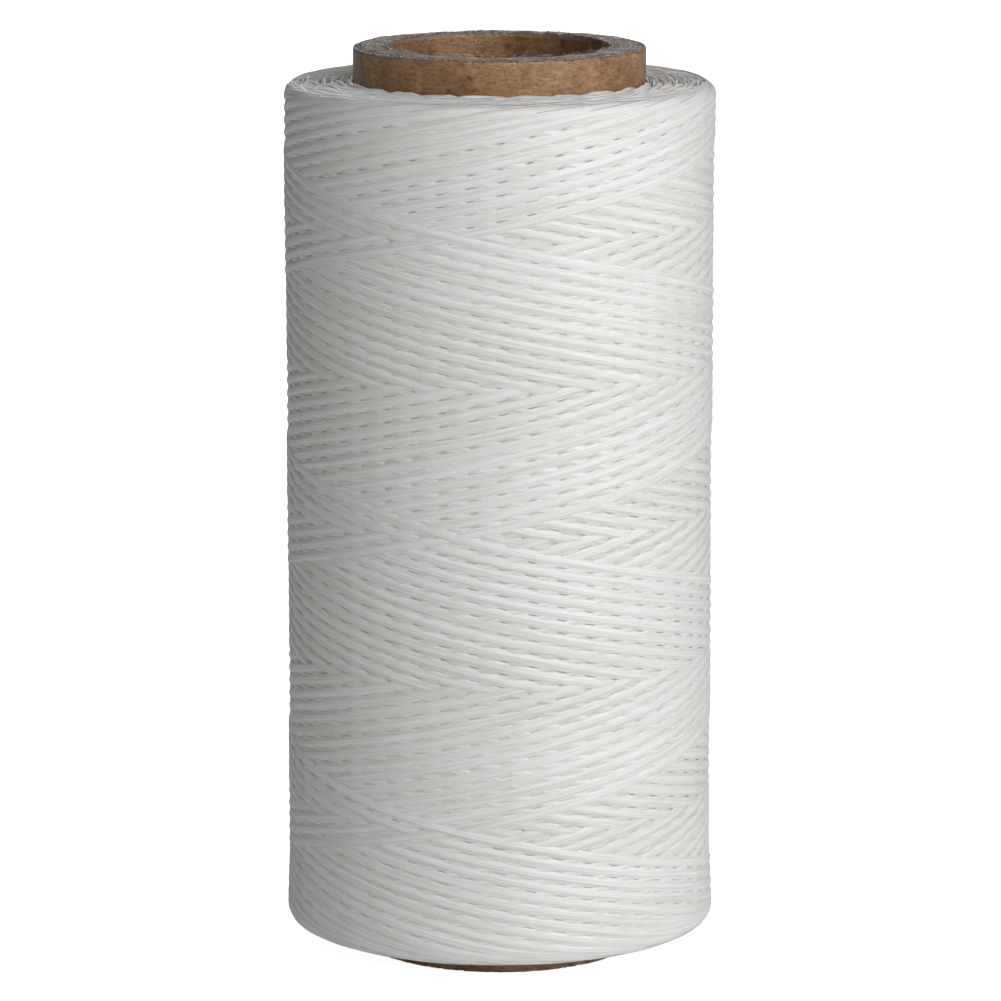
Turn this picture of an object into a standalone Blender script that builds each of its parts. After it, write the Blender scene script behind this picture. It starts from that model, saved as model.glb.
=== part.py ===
"""Waxed thread spool: a laminated paper tube, cross-wound with one flat waxed thread.

Units are metres. +Z is the tube's axis, and Z = 0 is its lower rim.
"""

import math

import bpy

# The paper tube: glued sleeves of paper, one inside the other.
TUBE_LENGTH = 0.120
TUBE_OUTER_RADIUS = 0.0191
WRAP_THICKNESS = 0.00035
BODY_PLY_THICKNESS = 0.00060
BODY_PLY_COUNT = 6
LINER_THICKNESS = 0.00035
GLUE_LINE = 0.000035

# The wound thread, from its lower end face to its upper one.
WINDING_BOTTOM = 0.0037
WINDING_TOP = 0.1158
WINDING_RADIUS = 0.02815
WINDING_BORE_CLEARANCE = 0.00006
OUTER_WINDINGS_DEPTH = 0.0048
WINDINGS_GAP = 0.00010
END_FACE_RECESS = 0.0003
TOP_SHOULDER_WIDTH = 0.0045
TOP_SHOULDER_DEPTH = 0.0019
BOTTOM_SHOULDER_WIDTH = 0.0008
BOTTOM_SHOULDER_DEPTH = 0.0011
SHOULDER_STEPS = 6
FOOT_FLARE = 0.0003
FOOT_FLARE_HEIGHT = 0.010
WAIST = 0.00012

# The thread's last pass, which lies on top of all the others.
STRAND_WIDTH = 0.0013
STRAND_THICKNESS = 0.00036
STRAND_LIFT = 0.00010
STRAND_SIDES = 8
LEAD = 0.0385
LAST_PASS_TOP = 0.1125
LAST_PASS_BOTTOM = 0.0061
LAST_PASS_MARK_HEIGHT = 0.060
LAST_PASS_MARK_ANGLE = math.radians(-102.5)

FACETS = 64
SIDE_ROWS = 8
MERGE_DISTANCE = 0.00001

KRAFT_BROWN = (0.36, 0.215, 0.115, 1.0)
BOARD_BROWN = (0.33, 0.245, 0.165, 1.0)
LINER_BROWN = (0.31, 0.175, 0.085, 1.0)
THREAD_WHITE = (0.80, 0.79, 0.76, 1.0)
CORE_WHITE = (0.70, 0.67, 0.61, 1.0)


def clear_scene():
    for obj in list(bpy.data.objects):
        bpy.data.objects.remove(obj, do_unlink=True)


def make_collection(name):
    collection = bpy.data.collections.new(name)
    bpy.context.scene.collection.children.link(collection)
    return collection


def make_material(name, colour, roughness, sheen=0.0):
    material = bpy.data.materials.new(name)
    material.use_nodes = True
    shader = material.node_tree.nodes["Principled BSDF"]
    shader.inputs["Base Color"].default_value = colour
    shader.inputs["Roughness"].default_value = roughness
    shader.inputs["Metallic"].default_value = 0.0
    shader.inputs["Sheen Weight"].default_value = sheen
    material.diffuse_color = colour
    return material


def turned(name, outline, collection, material, smooth=False):
    """A ring turned about Z from a closed (radius, height) outline that runs down its outer side."""
    mesh = bpy.data.meshes.new(name)
    points = [(radius, 0.0, height) for radius, height in outline]
    edges = [(i, (i + 1) % len(points)) for i in range(len(points))]
    mesh.from_pydata(points, edges, [])
    mesh.materials.append(material)
    obj = bpy.data.objects.new(name, mesh)
    collection.objects.link(obj)
    turn = obj.modifiers.new("turn", "SCREW")
    turn.axis = "Z"
    turn.angle = math.tau
    turn.steps = FACETS
    turn.render_steps = FACETS
    turn.use_merge_vertices = True
    turn.merge_threshold = MERGE_DISTANCE
    turn.use_smooth_shade = smooth
    return obj


def build_sleeve(name, outer_radius, thickness, collection, material):
    """One sleeve of the paper tube, cut square at both rims. Returns the radius of its bore."""
    inner_radius = outer_radius - thickness
    outline = [
        (outer_radius, TUBE_LENGTH),
        (outer_radius, 0.0),
        (inner_radius, 0.0),
        (inner_radius, TUBE_LENGTH),
    ]
    turned(name, outline, collection, material)
    return inner_radius


def build_tube(collection):
    wrap = make_material("kraft_wrap", KRAFT_BROWN, 0.85)
    board = make_material("paperboard", BOARD_BROWN, 0.95)
    liner = make_material("kraft_liner", LINER_BROWN, 0.85)
    bore = build_sleeve("tube_outer_wrap", TUBE_OUTER_RADIUS, WRAP_THICKNESS, collection, wrap)
    for number in range(BODY_PLY_COUNT, 0, -1):
        name = f"tube_body_ply_{number}"
        bore = build_sleeve(name, bore - GLUE_LINE, BODY_PLY_THICKNESS, collection, board)
    build_sleeve("tube_inner_liner", bore - GLUE_LINE, LINER_THICKNESS, collection, liner)


def winding_radius(height):
    """Radius of the package's side: a slight waist, and a foot that spreads a little."""
    along = (height - WINDING_BOTTOM) / (WINDING_TOP - WINDING_BOTTOM)
    waist = WAIST * math.sin(math.pi * along)
    foot = FOOT_FLARE * max(0.0, 1.0 - (height - WINDING_BOTTOM) / FOOT_FLARE_HEIGHT)
    return WINDING_RADIUS - waist + foot


def shoulder(end_height, width, depth):
    """Quarter-ellipse edge from an end face to the side. A negative depth makes the lower edge."""
    corner_radius = winding_radius(end_height)
    points = []
    for step in range(SHOULDER_STEPS + 1):
        angle = 0.5 * math.pi * step / SHOULDER_STEPS
        radius = corner_radius - width * (1.0 - math.sin(angle))
        height = end_height - depth * (1.0 - math.cos(angle))
        points.append((radius, height))
    return points


def build_windings(collection):
    thread = make_material("waxed_thread", THREAD_WHITE, 0.38, sheen=0.3)
    core = make_material("waxed_thread_core", CORE_WHITE, 0.5)
    bore = TUBE_OUTER_RADIUS + WINDING_BORE_CLEARANCE
    split = WINDING_RADIUS - OUTER_WINDINGS_DEPTH
    face_top = WINDING_TOP - END_FACE_RECESS
    face_bottom = WINDING_BOTTOM + END_FACE_RECESS
    core_outline = [
        (split - WINDINGS_GAP, face_top),
        (split - WINDINGS_GAP, face_bottom),
        (bore, face_bottom),
        (bore, face_top),
    ]
    turned("thread_inner_windings", core_outline, collection, core)

    top_edge = shoulder(WINDING_TOP, TOP_SHOULDER_WIDTH, TOP_SHOULDER_DEPTH)
    foot_edge = shoulder(WINDING_BOTTOM, BOTTOM_SHOULDER_WIDTH, -BOTTOM_SHOULDER_DEPTH)
    side_top = top_edge[-1][1]
    side_drop = side_top - WINDING_BOTTOM - FOOT_FLARE_HEIGHT
    heights = [side_top - side_drop * row / SIDE_ROWS for row in range(1, SIDE_ROWS + 1)]
    side = [(winding_radius(height), height) for height in heights]
    bore_side = [(split, face_bottom), (split, face_top)]
    outline = top_edge + side + foot_edge[::-1] + bore_side
    turned("thread_outer_windings", outline, collection, thread, smooth=True)
    return thread


def strand_section(collection):
    """The flat oval section of the thread, as a guide curve: out of the spool is X, across it is Y."""
    curve = bpy.data.curves.new("strand_section", "CURVE")
    curve.dimensions = "2D"
    outline = curve.splines.new("POLY")
    outline.points.add(STRAND_SIDES - 1)
    for side, point in enumerate(outline.points):
        angle = -math.tau * side / STRAND_SIDES
        across = 0.5 * STRAND_WIDTH * math.sin(angle)
        out = 0.5 * STRAND_THICKNESS * math.cos(angle)
        point.co = (out, across, 0.0, 1.0)
    outline.use_cyclic_u = True
    guide = bpy.data.objects.new("strand_section", curve)
    guide.hide_render = True
    guide.display_type = "WIRE"
    collection.objects.link(guide)
    return guide


def build_last_pass(collection, guides, material):
    """The last fall of the thread: a helix from the upper shoulder to its end at the foot."""
    drop = LAST_PASS_TOP - LAST_PASS_BOTTOM
    steps = round(FACETS * drop / LEAD)
    curve = bpy.data.curves.new("thread_last_pass", "CURVE")
    curve.dimensions = "3D"
    curve.twist_mode = "Z_UP"
    curve.bevel_mode = "OBJECT"
    curve.bevel_object = strand_section(guides)
    curve.use_fill_caps = True
    curve.materials.append(material)
    route = curve.splines.new("POLY")
    route.points.add(steps)
    for step, point in enumerate(route.points):
        height = LAST_PASS_TOP - drop * step / steps
        angle = LAST_PASS_MARK_ANGLE - math.tau * (height - LAST_PASS_MARK_HEIGHT) / LEAD
        radius = winding_radius(height) + STRAND_LIFT + 0.5 * STRAND_THICKNESS
        point.co = (radius * math.cos(angle), radius * math.sin(angle), height, 1.0)
    strand = bpy.data.objects.new("thread_last_pass", curve)
    collection.objects.link(strand)


def main():
    clear_scene()
    parts = make_collection("waxed_thread_spool")
    guides = make_collection("guides")
    build_tube(parts)
    thread = build_windings(parts)
    build_last_pass(parts, guides, thread)


main()
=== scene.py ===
"""The looks of the waxed thread spool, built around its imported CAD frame.

Metres, +Z up. Angles run from the front of the spool, counter-clockwise as seen from above, so a
point at angle a and radius r is (r sin a, -r cos a). The thread is laid pass by pass, as a winder
lays it: each pass crosses the ones below, rests on them where it touches, and is pulled straight
in between.
"""

import math

import bpy
import numpy as np
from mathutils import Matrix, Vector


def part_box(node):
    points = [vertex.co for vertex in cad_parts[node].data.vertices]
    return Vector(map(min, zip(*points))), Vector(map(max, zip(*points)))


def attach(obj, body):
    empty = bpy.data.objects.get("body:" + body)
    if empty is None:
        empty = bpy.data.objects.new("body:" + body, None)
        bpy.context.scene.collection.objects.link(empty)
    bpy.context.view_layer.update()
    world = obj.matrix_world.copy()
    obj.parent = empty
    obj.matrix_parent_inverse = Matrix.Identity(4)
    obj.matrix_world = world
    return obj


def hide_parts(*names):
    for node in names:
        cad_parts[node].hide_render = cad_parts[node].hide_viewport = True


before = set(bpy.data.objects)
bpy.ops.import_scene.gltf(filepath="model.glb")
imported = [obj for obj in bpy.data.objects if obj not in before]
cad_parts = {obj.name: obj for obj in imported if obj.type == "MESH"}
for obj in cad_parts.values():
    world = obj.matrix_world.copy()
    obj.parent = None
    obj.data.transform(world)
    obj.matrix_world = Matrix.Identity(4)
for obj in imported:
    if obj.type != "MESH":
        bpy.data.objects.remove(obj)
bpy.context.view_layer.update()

MM = 0.001
rng = np.random.default_rng(7)


# ---------------------------------------------------------------- sizes read from the frame

def outer_outline(node):
    """Heights and radii of the outer side of a turned CAD node, from its foot to its top."""
    points = np.array([vertex.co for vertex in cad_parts[node].data.vertices])
    radii = np.hypot(points[:, 0], points[:, 1])
    outside = radii > radii.min() + 0.1 * MM
    heights = np.round(points[outside, 2], 6)
    levels = np.unique(heights)
    outline = [radii[outside][heights == level].max() for level in levels]
    return levels, np.array(outline)


def ring_radii(node):
    """(inner, outer) radius of a sleeve of the tube."""
    points = np.array([vertex.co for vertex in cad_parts[node].data.vertices])
    radii = np.hypot(points[:, 0], points[:, 1])
    return float(radii.min()), float(radii.max())


TUBE_RADIUS = ring_radii("tube_outer_wrap")[1]
BORE_RADIUS = ring_radii("tube_inner_liner")[0]
TUBE_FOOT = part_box("tube_outer_wrap")[0].z
TUBE_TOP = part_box("tube_outer_wrap")[1].z
WINDING_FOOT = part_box("thread_outer_windings")[0].z
WINDING_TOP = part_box("thread_outer_windings")[1].z
OUTLINE_HEIGHTS, OUTLINE_RADII = outer_outline("thread_outer_windings")

# ---------------------------------------------------------------- the winding

STRAND_WIDTH = 1.62 * MM
STRAND_THICKNESS = 0.30 * MM
PASS_TURNS = 3.022
PASS_COUNT = 556
INNER_ROUNDING = 15.0  # degrees over which a pass turns round, next to the tube
OUTER_ROUNDING = 46.0  # and at the surface
END_LEAD_LOSS = 0.025  # how much flatter the thread runs near the ends
TOP_DROP = 0.35 * MM  # how much lower the last pass turns at the top than the first
EDGE_JITTER = 0.08 * MM
EDGE_REACH = 90.0  # degrees of the thread that an uneven turning moves
SPACING_JITTER = 0.03 * MM
WANDER = 0.03 * MM
WANDER_STEP = 60  # degrees
MARK_ANGLE = -12  # where the last pass crosses MARK_HEIGHT
MARK_HEIGHT = 60.0 * MM

GRID_ROW = 0.1 * MM
COLUMNS = 360
FOOTPRINT_ROWS = 6  # rows that a strand covers on each side of its middle
ROUND_ROWS = 0.7  # how far past the footprint a strand's round top would end
SAMPLE_PASSES = (100, 146)  # the passes that show how strands crowd near the ends
COVER_SMOOTHING = 9
GIVE = 0.3  # 0 is a thread pulled straight from bump to bump, 1 is one that follows every dip
LEAN_SHARE = 0.7
PRESSED = 0.40  # depth left between layers, as a share of what stiff strands would have
PILE_PERCENTILE = 80
PILE_SMOOTHING = 21
BASE_SMOOTHING = 3
LEAN_SMOOTHING = 5
STEEPEST = 1.2  # the steepest slope of the shoulders that strands lean with
LEAN_POWER = 8  # how soon that lean is lost towards the tube

OUTER_PASSES = 104
PASSES_PER_PIECE = 26
SECTION_STEP = 4  # degrees between the sections of a strand
END_ARC = 45  # degrees of a loop on each side of its turning
END_ARC_STEP = 3
LOOP_GATHER = 0.75
LOOP_UNREST = 0.06 * MM
# How far from the end faces the painted shade on deep strands fades in.
SHADE_FADE_REACH = 4.0 * MM

CORE_DEPTH = 0.38 * MM
CORE_INSET = 0.9 * MM
CORE_CLEARANCE = 0.1 * MM
CORE_ROWS = 60
CORE_SEGMENTS = 256


def wind():
    """The thread's centre line, one sample a degree, from the tube outwards.

    Returns the angle in degrees, the height and the number of the pass.
    """
    pass_degrees = 360.0 * PASS_TURNS
    count = int(PASS_COUNT * pass_degrees)
    turned = PASS_COUNT * pass_degrees - (count - 1 - np.arange(count))
    number = np.minimum((turned / pass_degrees).astype(int), PASS_COUNT - 1)
    share = turned / pass_degrees - number
    along = 2.0 * share - 1.0
    laid = turned / (PASS_COUNT * pass_degrees)
    highest = WINDING_TOP - 0.5 * STRAND_WIDTH - TOP_DROP * laid**3
    lowest = WINDING_FOOT + 0.5 * STRAND_WIDTH
    middle = 0.5 * (highest + lowest)

    # A cubic that is a little steeper in the middle, with a parabola that rounds each turning.
    rounding = INNER_ROUNDING + (OUTER_ROUNDING - INNER_ROUNDING) * laid**2
    slope_share = (1.0 - 2.0 * END_LEAD_LOSS) * 2.0 / pass_degrees
    reach = 0.5 * (highest - lowest) / (1.0 - 0.5 * rounding * slope_share)
    to_end = np.minimum(share, 1.0 - share) * pass_degrees
    cut = slope_share * np.maximum(0.0, rounding - to_end) ** 2 / (2.0 * rounding)
    straight = along * (1.0 + END_LEAD_LOSS) - END_LEAD_LOSS * along**3
    upward = np.where(number % 2 == 0, 1.0, -1.0)
    height = middle + upward * reach * (straight - np.sign(along) * cut)

    # No turning is quite like the last, and the thread wanders a little on its way.
    boundary = number + (share > 0.5)
    pull = np.abs(rng.normal(0.0, EDGE_JITTER, PASS_COUNT + 1))
    fade = np.clip(1.0 - to_end / EDGE_REACH, 0.0, 1.0) ** 2
    height += np.where(height > middle, -1.0, 1.0) * fade * pull[boundary]
    height += rng.normal(0.0, SPACING_JITTER, PASS_COUNT)[number] * (1.0 - fade)
    knots = np.arange(0, count + WANDER_STEP, WANDER_STEP)
    height += np.interp(np.arange(count), knots, rng.normal(0.0, WANDER, len(knots)))
    height = np.clip(height, lowest, highest)

    last = number == PASS_COUNT - 1
    mark = np.flatnonzero(last & (height < MARK_HEIGHT))[0]
    return MARK_ANGLE - mark + np.arange(count), height, number


def laid_thickness(height, number):
    """How thick a strand stays once the passes around it press on it, by height."""
    rows = int(WINDING_TOP / GRID_ROW) + 2
    sample = (number >= SAMPLE_PASSES[0]) & (number < SAMPLE_PASSES[1])
    centre = height[sample]
    cover = np.zeros(rows)
    for offset in range(-FOOTPRINT_ROWS, FOOTPRINT_ROWS + 1):
        places = np.rint(centre / GRID_ROW).astype(int) + offset
        np.add.at(cover, np.clip(places, 0, rows - 1), 1.0)
    middle = np.median(cover[rows // 4: 3 * rows // 4])
    smooth = np.convolve(cover, np.ones(COVER_SMOOTHING) / COVER_SMOOTHING, mode="same")
    return STRAND_THICKNESS * np.minimum(1.0, middle / np.maximum(smooth, 1.0))


def taut(support, spacing, radius):
    """Height of a thread pulled tight round a cylinder over bumps: straight from top to top.

    support is how far each sample of the bumps stands out. Once the cylinder's own curve (bow) is
    taken off, the thread is the upper hull of what is left.
    """
    place = spacing * np.arange(len(support))
    bow = place**2 / (2.0 * radius)
    x = place.tolist()
    y = (support - bow).tolist()
    hull = [0]
    for i in range(1, len(x)):
        while len(hull) > 1:
            a, b = hull[-2], hull[-1]
            if (x[b] - x[a]) * (y[i] - y[a]) < (x[i] - x[a]) * (y[b] - y[a]):
                break
            hull.pop()
        hull.append(i)
    return np.interp(place, place[hull], (support - bow)[hull]) + bow


def lay(angle, height, number):
    """Lays each pass on those below it.

    Returns how far out the strand's underside is at its lower and at its upper edge, how far out
    the finished pile is by column and row, and how thick a strand is by row.
    """
    thickness = laid_thickness(height, number)
    rows = len(thickness)
    surface = np.zeros((COLUMNS, rows))
    low_side = np.empty(len(angle))
    high_side = np.empty(len(angle))
    offsets = np.arange(-FOOTPRINT_ROWS, FOOTPRINT_ROWS + 1)
    crown = np.sqrt(1.0 - (offsets / (FOOTPRINT_ROWS + ROUND_ROWS)) ** 2)
    starts = np.searchsorted(number, np.arange(PASS_COUNT + 1))
    depth = OUTLINE_RADII.max() - TUBE_RADIUS
    for index in range(PASS_COUNT):
        span = slice(starts[index], starts[index + 1])
        column = angle[span] % COLUMNS
        row = np.rint(height[span] / GRID_ROW).astype(int)
        cells = (column[:, None], np.clip(row[:, None] + offsets, 0, rows - 1))
        under = surface[cells]
        radius = TUBE_RADIUS + depth * index / PASS_COUNT
        spacing = radius * math.radians(1.0)
        sides = []
        for half in (under[:, :FOOTPRINT_ROWS], under[:, FOOTPRINT_ROWS + 1:]):
            support = 0.5 * half.max(axis=1) + 0.5 * half.mean(axis=1)
            pulled = taut(support, spacing, radius)
            sides.append((1.0 - GIVE) * pulled + GIVE * support)
        low, high = sides
        lean = np.clip(high - low, -0.5 * STRAND_THICKNESS, 0.5 * STRAND_THICKNESS)
        middle = 0.5 * (low + high)
        low_side[span] = middle - 0.5 * lean
        high_side[span] = middle + 0.5 * lean
        top = (
            middle[:, None]
            + lean[:, None] * offsets / FOOTPRINT_ROWS * LEAN_SHARE
            + thickness[row][:, None] * crown
        )
        surface[cells] = np.maximum(under, top)
    return low_side, high_side, surface, thickness


def settled(depth, pile, room):
    """Depth under the surface once the turns are pressed together and fill the room inside."""
    return PRESSED * depth + (room - PRESSED * pile) * np.clip(depth / pile, 0.0, 1.0) ** 3


def smooth_along(values, width):
    """A moving average with soft ends, of the same length as values."""
    kernel = np.hanning(width + 2)[1:-1]
    padded = np.pad(values, width // 2, mode="edge")
    return np.convolve(padded, kernel / kernel.sum(), mode="valid")


class Winding:
    """The laid thread: where its centre line runs, how it leans, and how thick it is.

    sunk is the depth under the surface, by which the material paints shade, a beige darkening, on
    the strands deep between others. This painted shade fades out towards the end faces, where the
    deep strands lie open.
    """

    def __init__(self):
        self.angle, self.height, self.number = wind()
        low, high, surface, thickness = lay(self.angle, self.height, self.number)
        rows = GRID_ROW * np.arange(len(thickness))
        self.thickness = np.interp(self.height, rows, thickness)
        base = smooth_along(0.5 * (low + high), BASE_SMOOTHING)
        lean = smooth_along(high - low, LEAN_SMOOTHING)
        top = smooth_along(np.percentile(surface, PILE_PERCENTILE, axis=0), PILE_SMOOTHING)
        nudge = 0.2 * MM
        inside = (rows > self.height.min() + nudge) & (rows < self.height.max() - nudge)
        pile = np.interp(self.height, rows[inside], top[inside])
        outline = np.interp(self.height, OUTLINE_HEIGHTS, OUTLINE_RADII)
        above = np.interp(self.height + nudge, OUTLINE_HEIGHTS, OUTLINE_RADII)
        below = np.interp(self.height - nudge, OUTLINE_HEIGHTS, OUTLINE_RADII)
        centre = base + 0.5 * self.thickness
        share = np.clip(centre / pile, 0.0, 1.1)  # how far out it lies in the pile
        self.sunk = settled(pile - centre, pile, outline - TUBE_RADIUS)
        self.radius = outline - self.sunk
        to_edge = np.minimum(self.height - WINDING_FOOT, WINDING_TOP - self.height)
        # The painted shade on the deep strands fades out near the end faces.
        self.sunk *= np.clip(to_edge / SHADE_FADE_REACH - 0.5, 0.0, 1.0)
        slope = np.clip((above - below) / (2.0 * nudge), -STEEPEST, STEEPEST)
        self.lean = PRESSED * lean / (0.5 * STRAND_WIDTH) + slope * share**LEAN_POWER
        steps = np.hypot(np.diff(self.height), self.radius[1:] * math.radians(1.0))
        self.length = np.concatenate([[0.0], np.cumsum(steps)])


def strand_section():
    """Flat underneath and crowned on top, as shares of half the width and half the thickness."""
    right = (0.86, 0.68, 0.46, 0.18)
    places = right + tuple(-x for x in reversed(right))
    upper = [(x, 1.75 * (1.0 - x * x) ** 1.15 - 0.75) for x in places]
    lower = [(-0.7, -1.0), (0.7, -1.0)]
    return np.array([(1.0, -0.75)] + upper + [(-1.0, -0.75)] + lower)


def ribbon(winding, picks, gathered):
    """Points, and the length and place across of each, of one run of thread through the picks."""
    section = strand_section()
    a = np.radians(winding.angle[picks].astype(float))
    out = np.stack([np.sin(a), -np.cos(a), np.zeros_like(a)], axis=1)
    centre = out * winding.radius[picks][:, None]
    centre[:, 2] = winding.height[picks]
    along = np.gradient(centre, axis=0)
    along /= np.linalg.norm(along, axis=1)[:, None]
    across = np.cross(out, along)
    across /= np.linalg.norm(across, axis=1)[:, None]
    flip = np.where(across[:, 2] < 0.0, -1.0, 1.0)
    across *= flip[:, None]
    outward = np.cross(along, across) * flip[:, None]
    tilt = np.arctan(winding.lean[picks])
    turned_across = across * np.cos(tilt)[:, None] + outward * np.sin(tilt)[:, None]
    turned_out = outward * np.cos(tilt)[:, None] - across * np.sin(tilt)[:, None]
    # A crowded strand keeps at least 45% of its thickness.
    press = 0.45 + 0.55 * winding.thickness[picks] / STRAND_THICKNESS
    half_width = 0.5 * STRAND_WIDTH * gathered
    half_thickness = 0.5 * STRAND_THICKNESS * press / gathered
    points = (
        centre[:, None, :]
        + turned_across[:, None, :] * (section[:, 0] * half_width)[None, :, None]
        + turned_out[:, None, :] * (section[:, 1][None, :] * half_thickness[:, None])[:, :, None]
    )
    length = np.repeat(winding.length[picks][:, None], len(section), axis=1)
    place = np.repeat((0.5 + 0.5 * section[:, 0])[None, :], len(picks), axis=0)
    return points, length, place


def strands_object(name, winding, runs, gathered=1.0, unrest=0.0):
    """One mesh of closed runs of thread. Each run is a list of sample numbers.

    gathered is the share of its width that the strand keeps, and it gets that much thicker.
    unrest is how far its sections stray.
    """
    ring = len(strand_section())
    all_points, all_uv, all_sunk, quads, caps = [], [], [], [], []
    first = 0
    for picks in runs:
        points, length, place = ribbon(winding, picks, gathered)
        count = len(picks)
        # Drawn even where unrest is 0, so that the draws after it don't depend on it.
        points += rng.normal(0.0, 1.0, (count, 1, 3)) * unrest
        index = first + np.arange(count * ring).reshape(count, ring)
        following = np.roll(index, -1, axis=1)
        quads.append(
            np.stack([index[:-1], following[:-1], following[1:], index[1:]], axis=2).reshape(-1, 4)
        )
        caps.append(index[0][::-1])
        caps.append(index[-1])
        all_points.append(points.reshape(-1, 3))
        all_uv.append(np.stack([length.ravel(), place.ravel()], axis=1))
        all_sunk.append(np.repeat(winding.sunk[picks], ring))
        first += count * ring
    points = np.concatenate(all_points)
    uv = np.concatenate(all_uv)
    faces = np.concatenate(quads)
    obj = mesh_object(name, points, faces, caps, uv)
    # sunk carries the depth by which the thread's painted shade is drawn.
    attribute = obj.data.attributes.new("sunk", "FLOAT", "POINT")
    attribute.data.foreach_set("value", (np.concatenate(all_sunk) / MM).astype(np.float32))
    return obj


def mesh_object(name, points, quads, caps=(), uv=None):
    """A smooth-shaded object from arrays. caps are the faces that aren't quads."""
    corners = np.concatenate([quads.ravel()] + [np.asarray(cap) for cap in caps])
    sizes = np.concatenate([np.full(len(quads), 4), [len(cap) for cap in caps]]).astype(np.int32)
    starts = np.concatenate([[0], np.cumsum(sizes)[:-1]]).astype(np.int32)
    mesh = bpy.data.meshes.new(name)
    mesh.vertices.add(len(points))
    mesh.vertices.foreach_set("co", points.astype(np.float32).ravel())
    mesh.loops.add(len(corners))
    mesh.loops.foreach_set("vertex_index", corners.astype(np.int32))
    mesh.polygons.add(len(sizes))
    mesh.polygons.foreach_set("loop_start", starts)
    mesh.polygons.foreach_set("use_smooth", np.ones(len(sizes), bool))
    if uv is not None:
        layer = mesh.uv_layers.new(name="lay")
        layer.data.foreach_set("uv", uv[corners].astype(np.float32).ravel())
    mesh.update(calc_edges=True)
    mesh.validate()
    obj = bpy.data.objects.new(name, mesh)
    bpy.context.scene.collection.objects.link(obj)
    return obj


def build_thread(winding):
    """The outer passes whole, the deeper ones as loops on both end faces, and the last pass."""
    starts = np.searchsorted(winding.number, np.arange(PASS_COUNT + 1))
    pieces = []
    first_outer = PASS_COUNT - OUTER_PASSES
    last_start = starts[PASS_COUNT - 1]
    for group in range(OUTER_PASSES // PASSES_PER_PIECE):
        begin = starts[first_outer + group * PASSES_PER_PIECE]
        end = min(starts[first_outer + (group + 1) * PASSES_PER_PIECE], last_start)
        picks = np.arange(begin, end + SECTION_STEP, SECTION_STEP)
        pieces.append(strands_object(f"thread_turns_{group + 1}", winding, [picks]))
    # Even passes climb, so pass 1 starts at the top and pass 2 at the foot.
    for side, first in (("top", 1), ("foot", 2)):
        runs = []
        for index in range(first, first_outer, 2):
            middle = starts[index]
            reach = min(END_ARC, middle)
            runs.append(np.arange(middle - reach, middle + END_ARC + 1, END_ARC_STEP))
        name = f"thread_end_loops_{side}"
        pieces.append(strands_object(name, winding, runs, LOOP_GATHER, LOOP_UNREST))
    picks = np.arange(last_start, len(winding.angle), SECTION_STEP)
    last = strands_object("thread_last_turns", winding, [picks])
    return pieces, last


def build_core():
    """The turns deep inside the package, seen only through the gaps between the outer ones."""
    lowest = WINDING_FOOT + CORE_INSET
    highest = WINDING_TOP - CORE_INSET - TOP_DROP
    heights = np.linspace(lowest, highest, CORE_ROWS)
    outer = np.interp(heights, OUTLINE_HEIGHTS, OUTLINE_RADII) - CORE_DEPTH
    bore = TUBE_RADIUS + CORE_CLEARANCE
    outline = [(bore, highest), *zip(outer[::-1], heights[::-1]), (bore, lowest)]
    return turned("thread_inner_turns", outline, CORE_SEGMENTS)


def turned(name, outline, segments, offset=None):
    """A closed turned mesh from an outline that runs down its outer side.

    offset is how far each point moves, as (radius, height) arrays of segments by outline points.
    """
    outline = np.array(outline)
    a = np.arange(segments) * math.tau / segments
    radius = np.repeat(outline[None, :, 0], segments, axis=0)
    height = np.repeat(outline[None, :, 1], segments, axis=0)
    if offset is not None:
        radius = radius + offset[0]
        height = height + offset[1]
    points = np.stack(
        [radius * np.sin(a)[:, None], -radius * np.cos(a)[:, None], height], axis=2
    ).reshape(-1, 3)
    index = np.arange(segments * len(outline)).reshape(segments, len(outline))
    beside = np.roll(index, -1, axis=0)
    below = np.roll(index, -1, axis=1)
    opposite = np.roll(beside, -1, axis=1)
    quads = np.stack([index, below, opposite, beside], axis=2).reshape(-1, 4)
    length = np.repeat((a * TUBE_RADIUS)[:, None], len(outline), axis=1)
    steps = np.hypot(*np.diff(outline, axis=0).T)
    down = np.repeat(np.concatenate([[0.0], np.cumsum(steps)])[None, :], segments, axis=0)
    uv = np.stack([length.ravel(), down.ravel()], axis=1)
    return mesh_object(name, points, quads, uv=uv)


# ---------------------------------------------------------------- the paper tube

TUBE_SEGMENTS = 540
TUBE_MIDDLE = 0.5 * (TUBE_TOP + TUBE_FOOT)
RIM_DEPTHS = (0.0, 0.15 * MM, 0.4 * MM, 0.8 * MM, 1.5 * MM)
WRAP_SOFTENING = 0.2 * MM
PLY_SOFTENING = 0.01 * MM
RIM_RISE = 0.1 * MM
WEAR_REACH = 0.5 * MM  # how far down from a rim the wear reaches
BORE_WEAR = (0.32 * MM, 0.6 * MM)  # (how deep, over what width)
EDGE_WEAR = (0.34 * MM, 0.32 * MM)
LINER_ROUGHNESS = 0.12 * MM
PLY_ROUGHNESS = 0.06 * MM
LINER_LIP = 0.6 * MM

# Waves round the tube: (fewest crests a turn, most crests a turn, size).
RIM_WAVES = (5, 40, 0.03 * MM)
SINK_WAVES = (30, 160, 0.8)  # as a share of the ply's roughness, like the next
BULGE_WAVES = (8, 90, 1.0)
LIP_WAVES = (6, 70, 0.22)  # as a share of LINER_LIP
GRIT = 0.9
BULGE = 0.4

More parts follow.
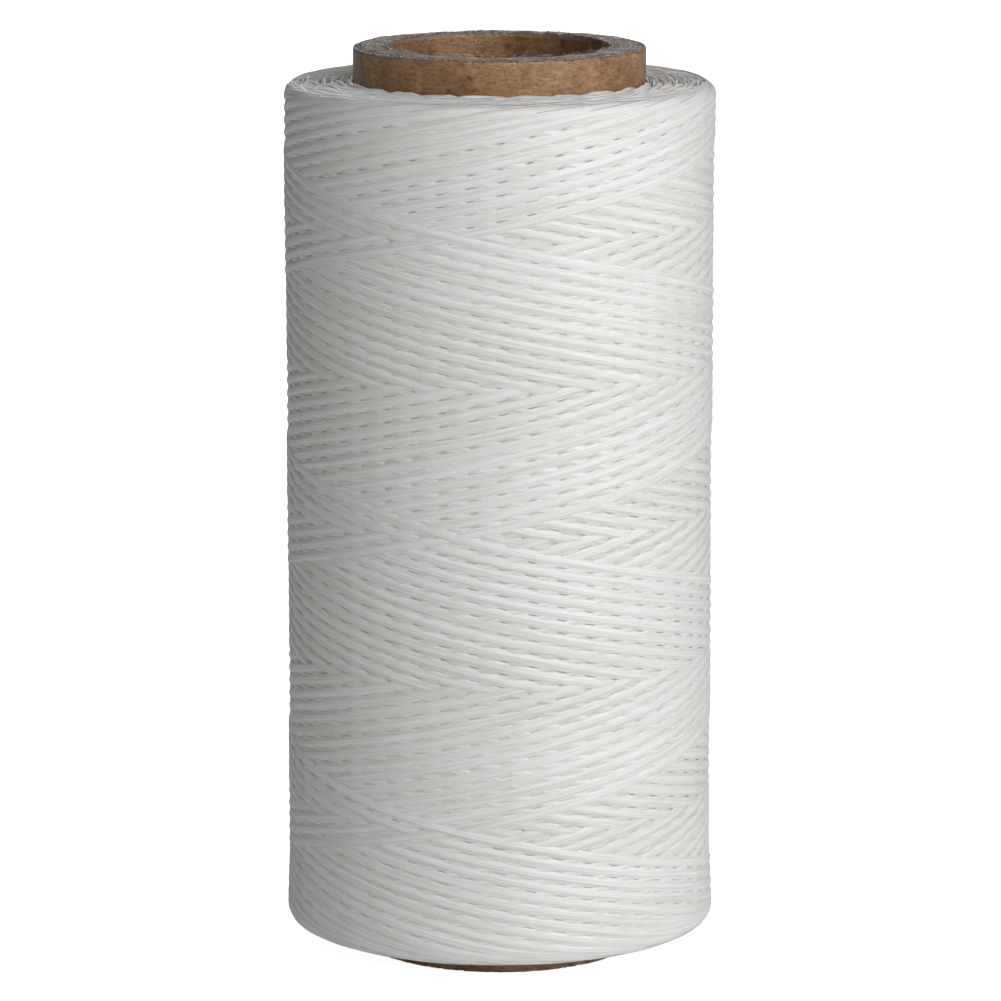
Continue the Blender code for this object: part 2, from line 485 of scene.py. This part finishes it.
FIBRES_PER_RIM = 420
LINER_FIBRES = 0.6  # the share of the fibres that stand on the liner's torn edge
LINER_SPREAD = 0.3 * MM
FIBRE_POINTS = 6
FIBRE_RADIUS = 0.022 * MM
FIBRE_TAPER = 0.7
FIBRE_LENGTHS = (0.3 * MM, 1.2 * MM)
FIBRE_LIFT = 0.5
FIBRE_BEND = 0.5
FIBRE_DROOP = 0.3
PLY_NODES = ["tube_inner_liner", *(f"tube_body_ply_{n}" for n in range(1, 7)), "tube_outer_wrap"]


def ring_noise(lowest, highest, size):
    """Smooth random values round the tube, from waves with lowest to highest crests a turn."""
    a = np.arange(TUBE_SEGMENTS) * math.tau / TUBE_SEGMENTS
    total = np.zeros(TUBE_SEGMENTS)
    for crests in range(lowest, highest + 1):
        total += rng.normal() * np.cos(crests * a + rng.uniform(0.0, math.tau)) / math.sqrt(crests)
    return size * total / max(total.std(), 1e-9)


def sleeve_outline(inner, outer, soft):
    """(radius, height) down the outer side and up the inner one, and which end each is near.

    The end is 1 at the top rim and -1 at the foot. soft is how far the rims' edges are drawn in.
    """
    thick = outer - inner
    rim = [(inner + share * thick, TUBE_TOP) for share in (0.15, 0.4, 0.65, 0.9)]
    outside = []
    for depth in RIM_DEPTHS:
        drawn_in = soft * max(0.0, 1.0 - depth / RIM_DEPTHS[1])
        outside.append((outer - drawn_in, TUBE_TOP - depth))
    for share in (0.2, 0.4, 0.6, 0.8):
        outside.append((outer, TUBE_TOP - share * (TUBE_TOP - TUBE_MIDDLE)))
    upper = rim + outside
    inside = [(inner + outer - radius, height) for radius, height in outside]
    lower = [(radius, 2.0 * TUBE_MIDDLE - height) for radius, height in reversed(upper)]
    foot_inside = [(radius, 2.0 * TUBE_MIDDLE - height) for radius, height in inside]
    outline = upper + lower + foot_inside + inside[::-1]
    ends = [1.0] * len(upper) + [-1.0] * (len(lower) + len(foot_inside)) + [1.0] * len(inside)
    return np.array(outline), np.array(ends)


def worn_down(radius):
    """How far the cut rim is worn below its middle, by radius."""
    inner = BORE_WEAR[0] * np.exp(-(radius - BORE_RADIUS) / BORE_WEAR[1])
    outer = EDGE_WEAR[0] * np.exp(-(TUBE_RADIUS - radius) / EDGE_WEAR[1])
    return inner + outer


def build_sleeve(node, rough, wear):
    """A paper sleeve with worn, fibrous rims. wear is the unevenness that the plies share."""
    inner, outer = ring_radii(node)
    soft = WRAP_SOFTENING if node == "tube_outer_wrap" else PLY_SOFTENING
    outline, ends = sleeve_outline(inner, outer, soft)
    below = np.where(ends > 0.0, TUBE_TOP - outline[:, 1], outline[:, 1] - TUBE_FOOT)
    edge = np.exp(-below / WEAR_REACH) * (below < 6.0 * WEAR_REACH)
    shape = (TUBE_SEGMENTS, len(outline))
    radial = np.zeros(shape)
    vertical = np.zeros(shape)
    for end, shared in zip((1.0, -1.0), wear):
        weight = edge * (ends == end)
        sunk = rough * np.abs(ring_noise(*SINK_WAVES)) - shared * (end > 0.0)
        grit = GRIT * rough * rng.random(shape) * (below < 0.01 * MM)
        vertical -= end * (sunk[:, None] + grit + worn_down(outline[:, 0])) * weight
        radial += (BULGE * rough * ring_noise(*BULGE_WAVES))[:, None] * weight
    if node == "tube_inner_liner":
        vertical += torn_lip()[:, None] * edge * (ends > 0.0)
    return turned(f"{node}_paper", outline, TUBE_SEGMENTS, (radial, vertical))


def torn_lip():
    """How far the torn liner stands up round the top rim: not at all in front, most at the back."""
    a = np.arange(TUBE_SEGMENTS) * math.tau / TUBE_SEGMENTS
    ragged = 1.0 - np.abs(ring_noise(*LIP_WAVES))
    return LINER_LIP * (0.5 - 0.5 * np.cos(a)) * ragged


def build_tube():
    """The eight sleeves, by the CAD node that each one replaces."""
    wear = [RIM_RISE + ring_noise(*RIM_WAVES) for _ in range(2)]
    pieces = {}
    for node in PLY_NODES:
        rough = LINER_ROUGHNESS if node == "tube_inner_liner" else PLY_ROUGHNESS
        pieces[node] = build_sleeve(node, rough, wear)
    return pieces


def build_fibres():
    """Loose paper fibres along the tube's two cut rims, thickest at the torn edge of the liner."""
    count = FIBRES_PER_RIM * 2
    a = rng.uniform(0.0, math.tau, count)
    near_bore = rng.random(count) < LINER_FIBRES
    inside = BORE_RADIUS + np.abs(rng.normal(0.0, LINER_SPREAD, count))
    radius = np.where(near_bore, inside, rng.uniform(BORE_RADIUS, TUBE_RADIUS - 0.2 * MM, count))
    out = np.stack([np.sin(a), -np.cos(a), np.zeros(count)], axis=1)
    side = np.stack([np.cos(a), np.sin(a), np.zeros(count)], axis=1)
    up = np.array([0.0, 0.0, 1.0])
    heading = rng.uniform(0.0, math.tau, count)
    lift = rng.uniform(0.0, FIBRE_LIFT, count)
    way = (
        side * np.cos(heading)[:, None]
        + out * (0.6 * np.sin(heading))[:, None]
        + up * lift[:, None]
    )
    bend = rng.normal(0.0, FIBRE_BEND, (count, 3)) - FIBRE_DROOP * up
    long = rng.uniform(*FIBRE_LENGTHS, count)
    share = np.linspace(0.0, 1.0, FIBRE_POINTS)
    run = share[None, :, None] * long[:, None, None]
    course = way[:, None, :] + share[None, :, None] * bend[:, None, :]
    spine = radius[:, None, None] * out[:, None, :] + run * course

    # The foot of each is in the paper, and one that would dip deeper bends back out.
    proud = np.abs(spine[:, :, 2] + 0.03 * MM) - 0.08 * MM
    top = (np.arange(count) < FIBRES_PER_RIM)[:, None]
    spine[:, :, 2] = np.where(top, TUBE_TOP + RIM_RISE + proud, TUBE_FOOT + 0.2 * MM - proud)
    spine[:, :, 2] = np.maximum(spine[:, :, 2], TUBE_FOOT + FIBRE_RADIUS)

    # Each is a tapering tube of three sides. facing turns the faces out whichever way it runs.
    ring = np.arange(3) * math.tau / 3.0
    thin = (FIBRE_RADIUS * (1.0 - FIBRE_TAPER * share))[None, :, None, None]
    facing = np.sign(((spine[:, -1] - spine[:, 0]) * side).sum(axis=1))[:, None, None, None]
    turn = out[:, None, None, :] * np.cos(ring)[:, None] + facing * up * np.sin(ring)[:, None]
    points = spine[:, :, None, :] + thin * turn
    index = np.arange(count * FIBRE_POINTS * 3).reshape(count, FIBRE_POINTS, 3)
    beside = np.roll(index, -1, axis=2)
    quads = np.stack([index[:, :-1], index[:, 1:], beside[:, 1:], beside[:, :-1]], axis=3)
    caps = np.concatenate([index[:, 0], index[:, -1, ::-1]])
    return mesh_object("tube_rim_fibres", points.reshape(-1, 3), quads.reshape(-1, 4), list(caps))


# ---------------------------------------------------------------- materials

BLACK = (0.0, 0.0, 0.0)
WHITE = (1.0, 1.0, 1.0)
KRAFT_WRAP = ((0.225, 0.119, 0.056), (0.462, 0.28, 0.150))  # (dark, light)
KRAFT_LINER = ((0.18, 0.092, 0.044), (0.34, 0.193, 0.098))
BOARD_SHADES = (0.75, 1.0, 0.9, 1.1, 0.95, 0.7)  # of the six plies, from the bore outwards
FLOOR_SEEN_GLOW = 0.88  # added to the floor's glow for camera rays, which burns it out to white
FLOOR_GLOW = 0.055


class Nodes:
    """Short calls for a material's node tree."""

    def __init__(self, name):
        self.material = bpy.data.materials.new(name)
        self.material.use_nodes = True
        self.tree = self.material.node_tree
        self.shader = self.tree.nodes["Principled BSDF"]

    def add(self, kind, **settings):
        node = self.tree.nodes.new(kind)
        for key, value in settings.items():
            setattr(node, key, value)
        return node

    def link(self, source, target):
        self.tree.links.new(source, target)

    def value(self, socket_name, value):
        self.shader.inputs[socket_name].default_value = value

    def mapping(self, source, scale):
        node = self.add("ShaderNodeMapping")
        node.inputs["Scale"].default_value = scale
        self.link(source, node.inputs["Vector"])
        return node.outputs["Vector"]

    def noise(self, vector, scale, detail=2.0, roughness=0.5):
        node = self.add("ShaderNodeTexNoise")
        node.inputs["Scale"].default_value = scale
        node.inputs["Detail"].default_value = detail
        node.inputs["Roughness"].default_value = roughness
        self.link(vector, node.inputs["Vector"])
        return node.outputs["Fac"]

    def ramp(self, source, stops):
        node = self.add("ShaderNodeValToRGB")
        elements = node.color_ramp.elements
        while len(elements) < len(stops):
            elements.new(0.5)
        for element, (place, colour) in zip(elements, stops):
            element.position = place
            element.color = (*colour, 1.0)
        self.link(source, node.inputs["Fac"])
        return node.outputs["Color"]

    def mix(self, factor, first, second, blend="MIX"):
        node = self.add("ShaderNodeMix", data_type="RGBA", blend_type=blend)
        sockets = (node.inputs[0], node.inputs[6], node.inputs[7])  # Factor, and A and B as colours
        for socket, value in zip(sockets, (factor, first, second)):
            if isinstance(value, (int, float)):
                socket.default_value = value
            elif isinstance(value, tuple):
                socket.default_value = (*value, 1.0)
            else:
                self.link(value, socket)
        return node.outputs[2]

    def maths(self, operation, first, second=0.0):
        node = self.add("ShaderNodeMath", operation=operation)
        for socket, value in zip(node.inputs, (first, second)):
            if isinstance(value, (int, float)):
                socket.default_value = value
            else:
                self.link(value, socket)
        return node.outputs[0]

    def bump(self, height, distance, strength=1.0):
        node = self.add("ShaderNodeBump")
        node.inputs["Strength"].default_value = strength
        node.inputs["Distance"].default_value = distance
        self.link(height, node.inputs["Height"])
        self.link(node.outputs["Normal"], self.shader.inputs["Normal"])


def thread_material():
    """White waxed polyester: flat filaments side by side, with wax that softens the shine."""
    m = Nodes("waxed_thread_looks")
    lay_map = m.add("ShaderNodeUVMap", uv_map="lay").outputs["UV"]
    sunk = m.add("ShaderNodeAttribute", attribute_name="sunk").outputs["Fac"]
    fine = m.noise(m.mapping(lay_map, (110.0, 13.0, 1.0)), scale=1.0, roughness=0.6)
    broad = m.noise(m.mapping(lay_map, (45.0, 5.0, 1.0)), scale=1.0, detail=1.0)
    patches = m.noise(m.mapping(lay_map, (45.0, 0.4, 1.0)), scale=1.0)
    tone = m.ramp(broad, [(0.36, (0.84, 0.83, 0.81)), (0.58, (0.95, 0.95, 0.95))])
    streak = m.ramp(fine, [(0.38, (0.88, 0.875, 0.86)), (0.56, WHITE)])
    tint = m.ramp(patches, [(0.35, (0.985, 0.98, 0.97)), (0.65, WHITE)])
    # Painted shade: strands deep between others are darkened to beige by their depth.
    deep = m.ramp(sunk, [(0.19, WHITE), (0.30, (0.84, 0.80, 0.70))])  # by depth in millimetres
    colour = m.mix(1.0, m.mix(1.0, tone, tint, "MULTIPLY"), streak, "MULTIPLY")
    colour = m.mix(1.0, colour, deep, "MULTIPLY")
    m.link(colour, m.shader.inputs["Base Color"])
    height = m.maths("ADD", m.maths("MULTIPLY", fine, 0.5), broad)
    m.bump(height, distance=0.00006, strength=0.8)
    rough = m.maths("ADD", m.maths("MULTIPLY", fine, 0.16), 0.30)
    m.link(rough, m.shader.inputs["Roughness"])
    m.value("Specular IOR Level", 0.5)
    m.value("Anisotropic", 0.4)
    m.value("Subsurface Weight", 0.12)
    m.value("Subsurface Radius", (1.0, 1.0, 1.0))
    m.value("Subsurface Scale", 0.0006)
    tangent = m.add("ShaderNodeTangent", direction_type="UV_MAP", uv_map="lay")
    m.link(tangent.outputs["Tangent"], m.shader.inputs["Tangent"])
    return m.material


def core_material():
    """The same thread deep in the gaps, as fine bands coloured a darker beige: painted shade."""
    m = Nodes("waxed_thread_core_looks")
    lay_map = m.add("ShaderNodeUVMap", uv_map="lay").outputs["UV"]
    wave = m.add("ShaderNodeTexWave", bands_direction="Y")
    wave.inputs["Scale"].default_value = 90.0
    wave.inputs["Distortion"].default_value = 3.0
    m.link(lay_map, wave.inputs["Vector"])
    # Painted shade: the white thread is coloured a darker beige here, where it lies deep in the
    # gaps.
    colour = m.ramp(wave.outputs["Fac"], [(0.2, (0.66, 0.61, 0.50)), (0.8, (0.76, 0.72, 0.62))])
    m.link(colour, m.shader.inputs["Base Color"])
    m.bump(wave.outputs["Fac"], distance=0.0002, strength=0.7)
    m.value("Roughness", 0.55)
    return m.material


def rim_distance(m, place):
    """Distance from the nearer end of the tube."""
    height = m.add("ShaderNodeSeparateXYZ")
    m.link(place, height.inputs[0])
    offset = m.maths("ABSOLUTE", m.maths("SUBTRACT", height.outputs["Z"], TUBE_MIDDLE))
    return m.maths("SUBTRACT", TUBE_TOP - TUBE_MIDDLE, offset)


def kraft_material(name, dark, light, flecks, worn):
    """Brown kraft paper: short pressed fibres, mottling, stray specks, and greyer frayed ends.

    flecks is how strong the dark specks are, and worn how far the fraying reaches from the ends.
    """
    m = Nodes(name)
    place = m.add("ShaderNodeTexCoord").outputs["Object"]
    mottle = m.noise(place, scale=230.0, detail=5.0, roughness=0.68)
    pressed = m.mapping(place, (1100.0, 1100.0, 2600.0))
    fibres = m.noise(pressed, scale=1.0, detail=3.0, roughness=0.7)
    grain = m.noise(place, scale=3600.0, roughness=0.6)
    base = m.ramp(mottle, [(0.32, dark), (0.68, light)])
    streak = m.ramp(fibres, [(0.36, (0.66, 0.61, 0.57)), (0.58, (1.14, 1.12, 1.10))])
    colour = m.mix(1.0, base, streak, "MULTIPLY")
    spots = m.noise(place, scale=380.0, detail=1.0)
    stain = m.ramp(spots, [(0.69, BLACK), (0.74, WHITE)])
    colour = m.mix(m.maths("MULTIPLY", stain, flecks), colour, (0.10, 0.045, 0.022))
    chips = m.noise(place, scale=1500.0, roughness=0.6)
    chaff = m.ramp(chips, [(0.68, BLACK), (0.74, WHITE)])
    colour = m.mix(m.maths("MULTIPLY", chaff, 0.45), colour, (0.62, 0.50, 0.38))
    torn = m.noise(m.mapping(place, (900.0, 900.0, 120.0)), scale=1.0, roughness=0.6)
    reach = m.maths("MULTIPLY", torn, 2.0 * worn)
    fray = m.maths("LESS_THAN", rim_distance(m, place), reach)
    colour = m.mix(m.maths("MULTIPLY", fray, 0.6), colour, (0.30, 0.25, 0.21))
    cut = m.maths("LESS_THAN", rim_distance(m, place), 0.2 * worn)
    colour = m.mix(m.maths("MULTIPLY", cut, 0.7), colour, (0.15, 0.125, 0.11))
    m.link(colour, m.shader.inputs["Base Color"])
    height = m.maths("ADD", fibres, m.maths("MULTIPLY", grain, 0.8))
    m.bump(height, distance=0.0001, strength=0.8)
    m.value("Roughness", 0.40)
    m.value("Specular IOR Level", 0.8)
    m.value("Specular Tint", (1.0, 0.82, 0.66, 1.0))
    return m.material


def board_material(number):
    """The cut edge of a board ply: grey pulp with torn pale fibres."""
    m = Nodes(f"board_looks_{number}")
    lay_map = m.add("ShaderNodeUVMap", uv_map="lay").outputs["UV"]
    place = m.add("ShaderNodeTexCoord").outputs["Object"]
    layers = m.mapping(lay_map, (900.0, 5200.0, 1.0))
    pulp = m.noise(layers, scale=1.0, detail=4.0, roughness=0.75)
    patches = m.noise(place, scale=420.0, roughness=0.6)
    shade = BOARD_SHADES[number - 1]
    dark = (0.22 * shade, 0.195 * shade, 0.18 * shade)
    light = (0.86 * shade, 0.81 * shade, 0.77 * shade)
    colour = m.ramp(pulp, [(0.36, dark), (0.62, light)])
    warm = m.ramp(patches, [(0.38, (0.62, 0.57, 0.53)), (0.62, (1.0, 0.99, 0.98))])
    m.link(m.mix(1.0, colour, warm, "MULTIPLY"), m.shader.inputs["Base Color"])
    m.bump(pulp, distance=0.00025)
    m.value("Roughness", 0.85)
    m.value("Specular IOR Level", 0.3)
    return m.material


def fibre_material():
    """The pale loose fibres of the cut rims."""
    m = Nodes("fibre_looks")
    m.value("Base Color", (0.78, 0.72, 0.66, 1.0))
    m.value("Roughness", 0.5)
    return m.material


def floor_material():
    """White, and burnt out where the camera sees it, like the photograph's background."""
    m = Nodes("floor_looks")
    place = m.add("ShaderNodeTexCoord").outputs["Object"]
    soft = m.noise(place, scale=3.0)
    colour = m.ramp(soft, [(0.3, (0.80, 0.80, 0.80)), (0.7, (0.84, 0.84, 0.84))])
    m.link(colour, m.shader.inputs["Base Color"])
    m.value("Roughness", 0.9)
    m.value("Specular IOR Level", 0.1)
    m.value("Emission Color", (1.0, 1.0, 1.0, 1.0))
    seen = m.add("ShaderNodeLightPath").outputs["Is Camera Ray"]
    glow = m.maths("ADD", m.maths("MULTIPLY", seen, FLOOR_SEEN_GLOW), FLOOR_GLOW)
    m.link(glow, m.shader.inputs["Emission Strength"])
    return m.material


# ---------------------------------------------------------------- stage

# The camera was solved from the ellipses of the tube and the edges of the package.
CAMERA_PLACE = (0.00013, -0.6505, 0.1875)
CAMERA_PITCH = 78.87  # degrees up from straight down
CAMERA_LENS = 179.9
CAMERA_SENSOR = 36.0
WORLD_LIGHT = 0.06
LIGHT_REACH = 1.25
FLOOR_GAP = 0.0001


def build_stage():
    """A round floor just under the tube's foot."""
    bpy.ops.mesh.primitive_circle_add(vertices=96, radius=6.0, fill_type="NGON")
    floor = bpy.context.object
    floor.name = "floor"
    floor.location.z = TUBE_FOOT - FLOOR_GAP
    floor.data.materials.append(floor_material())


def add_area(name, azimuth, elevation, width, height, power):
    """A lamp that looks at the middle of the spool.

    azimuth is in degrees round from its front and elevation in degrees up. power is in watts.
    """
    light = bpy.data.lights.new(name, "AREA")
    light.shape = "RECTANGLE"
    light.size = width
    light.size_y = height
    light.energy = power
    obj = bpy.data.objects.new(name, light)
    bpy.context.scene.collection.objects.link(obj)
    a = math.radians(azimuth)
    e = math.radians(elevation)
    aside = LIGHT_REACH * math.cos(e)
    up = 0.5 * TUBE_TOP + LIGHT_REACH * math.sin(e)
    obj.location = (aside * math.sin(a), -aside * math.cos(a), up)
    obj.rotation_euler = (0.5 * math.pi - e, 0.0, a)


def build_lights():
    """Four lamps, and a world that is white to the camera and dim to everything else."""
    add_area("key_light", azimuth=43.0, elevation=18.0, width=0.7, height=0.5, power=6.5)
    add_area("side_light", azimuth=80.0, elevation=18.0, width=0.5, height=0.5, power=1.9)
    add_area("front_light", azimuth=8.0, elevation=38.0, width=1.0, height=0.7, power=4.4)
    add_area("back_light", azimuth=185.0, elevation=32.0, width=0.7, height=0.6, power=4.2)
    world = bpy.data.worlds.new("studio")
    bpy.context.scene.world = world
    world.use_nodes = True
    tree = world.node_tree
    background = tree.nodes["Background"]
    background.inputs["Color"].default_value = (1.0, 1.0, 1.0, 1.0)
    seen = tree.nodes.new("ShaderNodeLightPath")
    strength = tree.nodes.new("ShaderNodeMix")  # its inputs 2 and 3 are A and B as numbers
    strength.inputs[2].default_value = WORLD_LIGHT
    strength.inputs[3].default_value = 1.0
    tree.links.new(seen.outputs["Is Camera Ray"], strength.inputs[0])
    tree.links.new(strength.outputs[0], background.inputs["Strength"])


def build_camera():
    """The photograph's camera."""
    data = bpy.data.cameras.new("camera")
    data.lens = CAMERA_LENS
    data.sensor_width = CAMERA_SENSOR
    data.clip_start = 0.01
    camera = bpy.data.objects.new("camera", data)
    bpy.context.scene.collection.objects.link(camera)
    camera.location = CAMERA_PLACE
    camera.rotation_euler = (math.radians(CAMERA_PITCH), 0.0, 0.0)
    bpy.context.scene.camera = camera


# ---------------------------------------------------------------- assembly

def place_piece(piece, material, nodes=()):
    """Puts a piece on the spool, with its material and the CAD nodes that it replaces."""
    piece.data.materials.append(material)
    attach(piece, "root")
    if nodes:
        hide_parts(*nodes)


def main():
    winding = Winding()
    thread = thread_material()
    turns, last = build_thread(winding)
    for piece in turns:
        place_piece(piece, thread, ["thread_outer_windings"])
    place_piece(last, thread, ["thread_last_pass"])
    place_piece(build_core(), core_material(), ["thread_inner_windings"])
    wrap = kraft_material("kraft_wrap_looks", *KRAFT_WRAP, flecks=0.8, worn=0.25 * MM)
    liner = kraft_material("kraft_liner_looks", *KRAFT_LINER, flecks=0.7, worn=0.42 * MM)
    for number, (node, piece) in enumerate(build_tube().items()):
        if node == "tube_outer_wrap":
            place_piece(piece, wrap, [node])
        elif node == "tube_inner_liner":
            place_piece(piece, liner, [node])
        else:
            place_piece(piece, board_material(number), [node])
    place_piece(build_fibres(), fibre_material())
    build_stage()
    build_lights()
    build_camera()
    bpy.context.scene.view_settings.view_transform = "Standard"


main()
